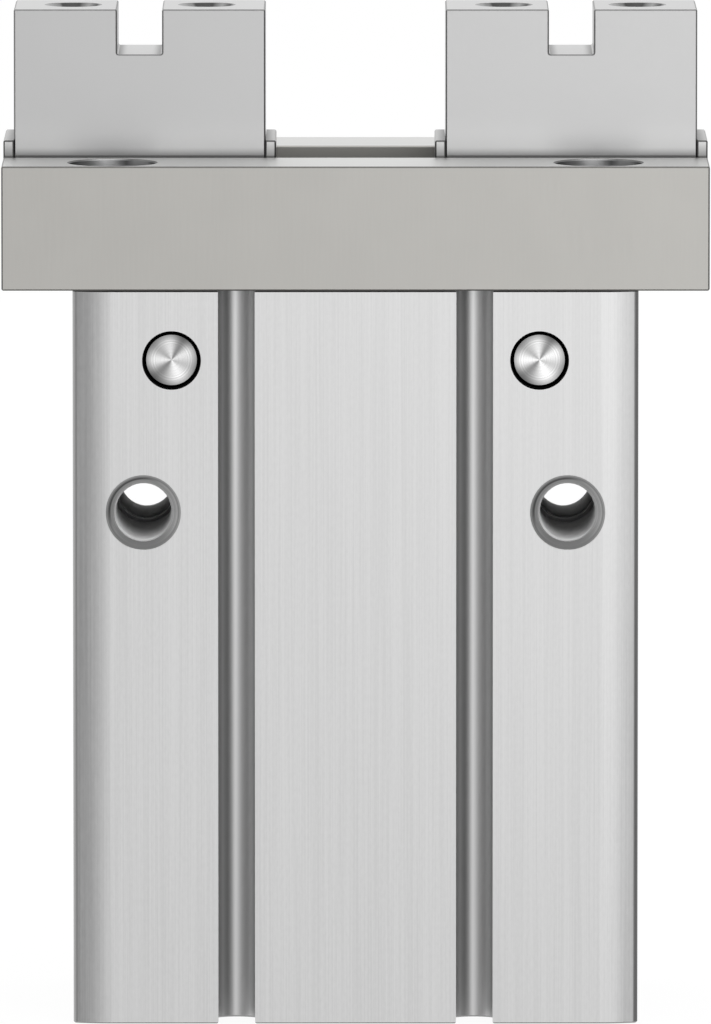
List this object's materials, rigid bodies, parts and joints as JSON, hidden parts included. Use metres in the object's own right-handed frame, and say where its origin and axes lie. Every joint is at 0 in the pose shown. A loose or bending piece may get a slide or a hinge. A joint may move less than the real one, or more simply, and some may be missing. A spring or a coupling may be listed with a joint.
{
  "type": "pneumatic parallel gripper",
  "caption": "Compact pneumatic parallel gripper: extruded housing with sensor slots, a guide plate and opposed jaws that a piston drives through levers.",
  "frame": {"origin": "centre of the housing's base face", "axes": "+Z from the base to the jaws, X along the jaws' travel, the pictured front faces -Y"},
  "size_m": [0.05, 0.025, 0.0715],
  "materials": {
    "anodised_aluminium": "clear anodised extrusion with fine lines along Z",
    "guide_steel": "ground hardened steel, warm grey",
    "jaw_steel": "fine ground steel",
    "plate_steel": "satin sheet steel",
    "pin_steel": "turned bright ends",
    "screw_steel": "satin stainless steel",
    "lever_steel": "hardened steel",
    "rod_steel": "hard chromed and polished",
    "piston_aluminium": "turned",
    "bearing_bronze": "sintered bronze",
    "seal_rubber": "black nitrile rubber",
    "bumper_rubber": "dark polyurethane",
    "wear_plastic": "filled PTFE",
    "magnet": "plastic-bonded magnet",
    "ring_steel": "phosphated spring steel"
  },
  "bodies": {
    "housing": {"body": "anodised_aluminium", "guide_plate": "guide_steel", "guide_screws": "screw_steel", "lever_pin_left": "pin_steel", "lever_pin_right": "pin_steel", "rod_bush": "bearing_bronze", "rod_seal": "seal_rubber", "seal_retainer": "piston_aluminium", "end_cap": "piston_aluminium", "end_cap_seal": "seal_rubber", "lower_bumper": "bumper_rubber", "retaining_ring": "ring_steel"},
    "piston_group": {"piston": "piston_aluminium", "wear_ring": "wear_plastic", "piston_seal": "seal_rubber", "magnet_ring": "magnet", "piston_cover": "piston_aluminium", "upper_bumper": "bumper_rubber", "piston_rod": "rod_steel", "piston_screw": "screw_steel"},
    "left_lever": {"lever_left": "lever_steel"},
    "right_lever": {"lever_right": "lever_steel"},
    "left_jaw": {"jaw_left": "jaw_steel", "outer_plate_left": "plate_steel", "inner_plate_left": "plate_steel", "plate_screws_left": "screw_steel", "rollers_left": "pin_steel"},
    "right_jaw": {"jaw_right": "jaw_steel", "outer_plate_right": "plate_steel", "inner_plate_right": "plate_steel", "plate_screws_right": "screw_steel", "rollers_right": "pin_steel"}
  },
  "joints": [
    {"name": "piston_slide", "type": "slide", "parent": "housing", "child": "piston_group", "axis": [0, 0, -1], "range_m": [0, 0.00404]},
    {"name": "left_jaw_slide", "type": "slide", "parent": "housing", "child": "left_jaw", "axis": [1, 0, 0], "range_m": [0, 0.005]},
    {"name": "right_jaw_slide", "type": "slide", "parent": "housing", "child": "right_jaw", "axis": [-1, 0, 0], "range_m": [0, 0.005]},
    {"name": "left_lever_swing", "type": "hinge", "parent": "housing", "child": "left_lever", "pos_m": [-0.013, 0, 0.04725], "axis": [0, 1, 0], "range_deg": [0, 30.85]},
    {"name": "right_lever_swing", "type": "hinge", "parent": "housing", "child": "right_lever", "pos_m": [0.013, 0, 0.04725], "axis": [0, -1, 0], "range_deg": [0, 30.85]}
  ],
  "couplings": [
    {"joint": "left_jaw_slide", "follows": "piston_slide", "ratio": 1.2368},
    {"joint": "right_jaw_slide", "follows": "piston_slide", "ratio": 1.2368},
    {"joint": "left_lever_swing", "follows": "piston_slide", "rad_per_m": 133.18},
    {"joint": "right_lever_swing", "follows": "piston_slide", "rad_per_m": 133.18}
  ]
}
